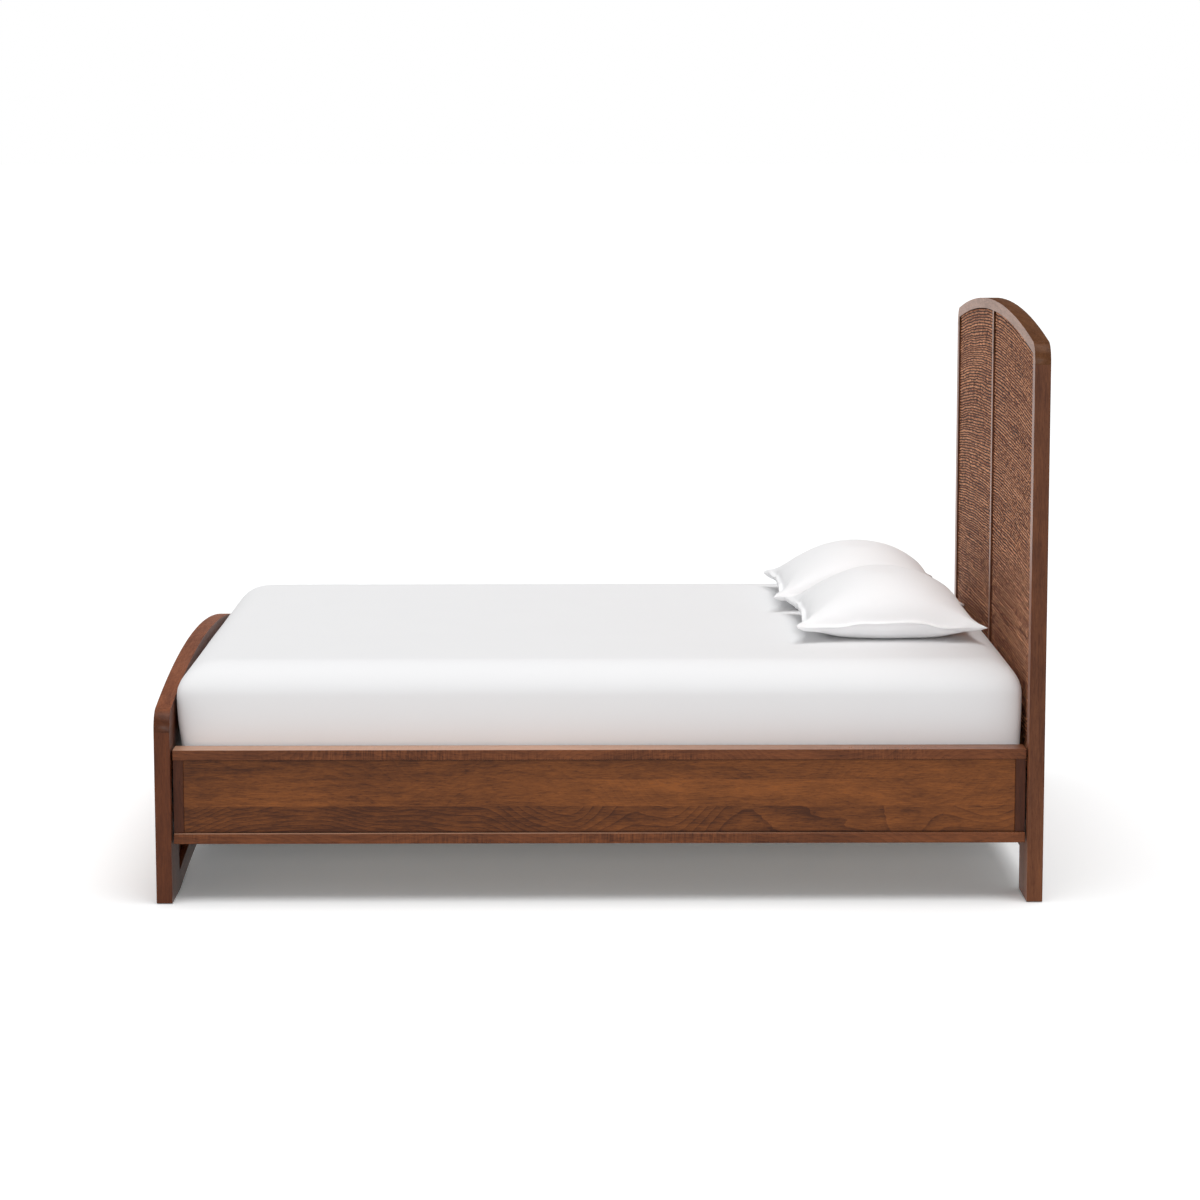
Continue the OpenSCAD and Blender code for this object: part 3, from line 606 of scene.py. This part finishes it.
def mattress():
    """A deep mattress in a fitted sheet: soft along its upper and lower edges, firmer at its four
    upright corners, and a little swollen between its edges."""
    low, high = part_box("mattress")
    centre = Vector([(a + b) / 2 for a, b in zip(low, high)])
    half = Vector([(b - a) / 2 for a, b in zip(low, high)])
    radius = 80 * MM                               # of the soft edges above and below
    squareness = 56                                # of the outline seen from above
    head_swell, foot_swell, side_swell = 5 * MM, -14 * MM, 4 * MM
    crown = 3 * MM                                 # rise of the top in its middle
    unevenness = 0.001                             # share by which the surface rises and falls
    bpy.ops.mesh.primitive_cube_add(size=2.0)
    piece = named("mattress_in_sheet")
    bpy.ops.object.mode_set(mode="EDIT")
    bpy.ops.mesh.select_all(action="SELECT")
    bpy.ops.mesh.subdivide(number_cuts=71)
    bpy.ops.object.mode_set(mode="OBJECT")
    for vertex in piece.data.vertices:
        u, v, w = (gathered(value) for value in vertex.co)
        inward = min(half.x * (1 - abs(u)), half.y * (1 - abs(v)))
        down = half.z * (1 - abs(w))
        turn = math.pi / 4 * (1 - min(inward, radius) / radius + min(down, radius) / radius)
        inset = radius * (1 - math.sin(turn)) if inward < radius else inward
        level = half.z - radius * (1 - math.cos(turn)) if down < radius else half.z * abs(w)
        x = half.x * u * (half.x - inset) / (half.x - inward)
        y = half.y * v * (half.y - inset) / (half.y - inward)
        across = (abs(x) / (half.x - inset)) ** squareness + (abs(y) / (half.y - inset)) ** squareness
        square = across ** (-1 / squareness) if inward < radius else 1.0
        spot = Vector((x * square, y * square, math.copysign(level, w)))
        # the walls swell most above the middle of their height
        swell = max(0.0, 1 - ((spot.z / half.z - 0.42) / 0.9) ** 2) ** 2
        end_swell = head_swell if spot.x > 0 else foot_swell
        spot.x += end_swell * swell * (abs(spot.x) / half.x) ** 16
        off_corner = 1 - (spot.x / half.x) ** 12
        spot.y += math.copysign(side_swell, spot.y) * swell * (abs(spot.y) / half.y) ** 16 * off_corner
        if spot.z > 0:
            spot.z += crown * (1 - (spot.x / half.x) ** 4) * (1 - (spot.y / half.y) ** 2) * spot.z / half.z
        vertex.co = centre + spot * (1 + unevenness * noise.noise(spot * 4.0))
    piece.data.shade_smooth()
    piece.data.materials.append(sheet_look)
    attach(piece, "mattress")
    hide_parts("mattress")


# ---- pillows ----


def inflate(piece, pressure, frames, limit):
    """Lets air swell a closed bag of cotton, without weight; no point moves further than the limit."""
    before = [vertex.co.copy() for vertex in piece.data.vertices]
    cloth = piece.modifiers.new("cotton", "CLOTH")
    settings = cloth.settings
    settings.quality = 5
    settings.mass = 0.25
    settings.tension_stiffness = 12
    settings.compression_stiffness = 12
    settings.shear_stiffness = 4
    settings.bending_stiffness = 0.2
    settings.use_pressure = True
    settings.uniform_pressure_force = pressure
    settings.effector_weights.gravity = 0
    cloth.collision_settings.use_collision = False
    cloth.point_cache.frame_start = 1
    cloth.point_cache.frame_end = frames
    for frame_number in range(1, frames + 1):
        bpy.context.scene.frame_set(frame_number)
    activate(piece)
    bpy.ops.object.modifier_apply(modifier="cotton")
    bpy.context.scene.frame_set(1)
    for vertex, start in zip(piece.data.vertices, before):
        move = vertex.co - start
        if move.length > limit:
            vertex.co = start + move.normalized() * limit


def ear_folds(u, v, seed):
    """Soft folds that run from each corner of a pillow towards its crown, about -1 to 1."""
    total = 0.0
    for side_u in (-1, 1):
        for side_v in (-1, 1):
            du, dv = 1 - side_u * u, 1 - side_v * v
            reach = math.hypot(du, dv)
            angle = math.atan2(dv, du)
            phase = seed + 1.7 * side_u + 2.9 * side_v
            fade = math.exp(-(reach / 0.62) ** 2) * min(1.0, reach / 0.12)
            total += fade * math.sin(9.0 * angle + phase + 2.2 * wobble(u * 2, v * 2, phase))
    return total


def seam_height(u, v, seed):
    """How far a pillow's seam rises and falls along its sides, in metres."""
    along = u if abs(v) > abs(u) else v
    side = seed + (3.0 if abs(v) > abs(u) else 0.0) + (1.0 if u + v > 0 else 0.0)
    middle = 1 / (1 + math.exp((abs(along) - 0.42) * 22))
    wave = wobble(along * 2.6, side * 2.0, seed)
    return (14 * middle - 7 + 5 * wave) * MM


def settle(piece, low, high):
    """Flattens a pillow softly where it lies, and keeps it inside its CAD solid's box."""
    bed_level = low[2] + 3.3 * MM
    softness = 6 * MM
    for vertex in piece.data.vertices:
        if vertex.co.z < bed_level + softness:
            sunk = bed_level + softness - vertex.co.z
            vertex.co.z = bed_level + softness * math.exp(-sunk / softness)
        for axis in (0, 1):
            vertex.co[axis] = max(low[axis], min(high[axis], vertex.co[axis]))
        vertex.co.z = min(vertex.co.z, high[2])


def pillow(node, name, seed):
    """A stuffed pillow in its case, with pointed corners, a stitched edge and an open hem towards
    the foot of the bed. u runs from the foot to the head of the bed and v from right to left."""
    low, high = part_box(node)
    centre = [(a + b) / 2 for a, b in zip(low, high)]
    half = [(b - a) / 2 for a, b in zip(low, high)]
    seam = low[2] + 43 * MM                        # height of the stitched edge
    crown = high[2] - seam - 5 * MM                # height of the stuffing over it
    belly = 58 * MM                                # depth of the stuffing under it
    layer = 1.2 * MM                               # each layer of the case from the seam's middle
    edge = 0.945                                   # where the stuffing ends and the flat edge begins
    hem_length = 6 * MM                            # how far the open hem stands past the edge
    bpy.ops.mesh.primitive_grid_add(x_subdivisions=56, y_subdivisions=62, size=2.0)
    piece = named(name)
    wall = piece.modifiers.new("two_layers", "SOLIDIFY")
    wall.thickness = 2.0 * MM
    wall.offset = 0
    bpy.ops.object.modifier_apply(modifier="two_layers")
    for vertex in piece.data.vertices:
        u, v = gathered(min(1, max(-1, vertex.co.x))), gathered(min(1, max(-1, vertex.co.y)))
        top = vertex.co.z > 0
        fill_u, fill_v = min(abs(u) / edge, 1.0), min(abs(v) / edge, 1.0)
        # stuffed full in the middle and flat along the edge, with sides that pull in between the corners
        full = (1 - fill_u ** 2.0) ** 0.95 * (1 - fill_v ** 2.3) ** 0.6
        waist_x = 1 - 0.105 * (1 - abs(v) ** 4) * abs(u) ** 3
        waist_y = 1 - 0.085 * (1 - abs(u) ** 4) * abs(v) ** 3
        lean = 0.05 * math.sin(1.3 * seed) * full
        x = centre[0] + half[0] * (u * waist_x + lean)
        y = centre[1] + half[1] * v * waist_y
        border = max(abs(u), abs(v)) ** 5
        corner = (abs(u) * abs(v)) ** 4
        droop = 20 * MM if u > 0 and v > 0 else -6 * MM  # the left corner at the headboard hangs lowest
        rim = seam + border * seam_height(u, v, seed) - droop * corner
        if top:
            z = rim + layer + crown * full + 2.6 * MM * ear_folds(u, v, seed) * full ** 0.3
            z += 3 * MM * wobble(u * 1.6, v * 1.6, seed + 4) * full
        else:
            z = rim - layer - belly * full ** 1.15
        if u < -edge:
            open_hem = (abs(u) - edge) / (1 - edge)
            lip = 1 - abs(v) ** 6
            x -= hem_length * open_hem * lip
            flap = wobble(v * 3.3, seed, 1.0 if top else 7.0)
            z += open_hem * lip * (4 * MM + 9 * MM * flap if top else -3 * MM + 7 * MM * flap)
        vertex.co = Vector((x, y, z))
    inflate(piece, pressure=1.6, frames=14, limit=9 * MM)
    settle(piece, low, high)
    smooth = piece.modifiers.new("finer", "SUBSURF")
    smooth.levels = 1
    smooth.render_levels = 1
    bpy.ops.object.modifier_apply(modifier="finer")
    piece.data.shade_smooth()
    piece.data.materials.append(pillow_look)
    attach(piece, node)
    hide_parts(node)


sheet_look = cotton_cloth("fitted_sheet", tint(232, 232, 233), thread=900.0, relief=0.25)
pillow_look = cotton_cloth("pillowcase", tint(243, 243, 244), thread=900.0, relief=0.3)

# ---- room, lights and camera ----

WHITE = (1.0, 1.0, 1.0, 1.0)


def backdrop_rays(tree):
    """1 where a camera, mirror or glass looks at the room itself, 0 where the room lights the bed."""
    rays = put(tree, "ShaderNodeLightPath")
    seen = maths(tree, "MAXIMUM", rays.outputs["Is Camera Ray"], rays.outputs["Is Glossy Ray"])
    return maths(tree, "MAXIMUM", seen, rays.outputs["Is Transmission Ray"])


def floor():
    """A pale floor that goes on to the horizon and keeps the bed's shadow. It looks white and faintly
    bright of itself, while the light that it throws back on the bed is that of pale paint."""
    bpy.ops.mesh.primitive_plane_add(size=400.0, location=(0, 0, 0))
    piece = named("floor")
    material, tree, shader = new_material("floor_paint")
    seen = backdrop_rays(tree)
    pale_paint, glow = (0.74, 0.74, 0.74, 1.0), (0.86, 0.96, 1.0, 1.0)
    tree.links.new(blend(tree, seen, pale_paint, WHITE), shader.inputs["Base Color"])
    tree.links.new(maths(tree, "MULTIPLY", seen, 0.105), shader.inputs["Emission Strength"])
    shader.inputs["Emission Color"].default_value = glow
    shader.inputs["Roughness"].default_value = 1.0
    shader.inputs["Specular IOR Level"].default_value = 0.0
    piece.data.materials.append(material)


def daylight():
    """A white room, and two soft lamps: their strength, then in degrees their height over the floor,
    their turn about the bed and the width of sky that they fill."""
    world = bpy.data.worlds.new("studio")
    bpy.context.scene.world = world
    world.use_nodes = True
    tree = world.node_tree
    sky = tree.nodes["Background"]
    sky.inputs["Color"].default_value = WHITE
    tree.links.new(span(tree, backdrop_rays(tree), 0.0, 1.0, 0.36, 1.0), sky.inputs["Strength"])
    for name, power, height, turn, wide in (("key", 1.96, 81, 30, 50), ("fill", 0.85, 12, 0, 12)):
        lamp = bpy.data.lights.new(name, "SUN")
        lamp.energy = power
        lamp.angle = math.radians(wide)
        holder = bpy.data.objects.new(name, lamp)
        bpy.context.scene.collection.objects.link(holder)
        holder.rotation_euler = (math.radians(90 - height), 0, math.radians(turn))


def camera():
    """Stands off the bed's right side, a little above it, and looks slightly down across it."""
    down, leaning, turned = 7.815, 0.076, -0.188   # degrees
    lens = bpy.data.cameras.new("camera")
    lens.sensor_width = 36
    lens.lens = 101.7
    lens.clip_end = 500
    holder = bpy.data.objects.new("camera", lens)
    bpy.context.scene.collection.objects.link(holder)
    holder.location = (-0.023, -8.836, 1.834)
    holder.rotation_euler = (math.radians(90 - down), math.radians(leaning), math.radians(turned))
    bpy.context.scene.camera = holder


# ---- making ----

bpy.context.scene.view_settings.view_transform = "Standard"
camera()
floor()
daylight()
dress_timber()
dress_fittings()
deselect()
for side in ("left", "right"):
    woven_panel("headboard_woven_" + side, head_top, head_rise, head_low_edge)
    woven_panel("footboard_woven_" + side, foot_top, foot_rise, foot_low_edge)
mattress()
pillow("pillow_left", "pillow_far", 2.0)
pillow("pillow_right", "pillow_near", 5.0)
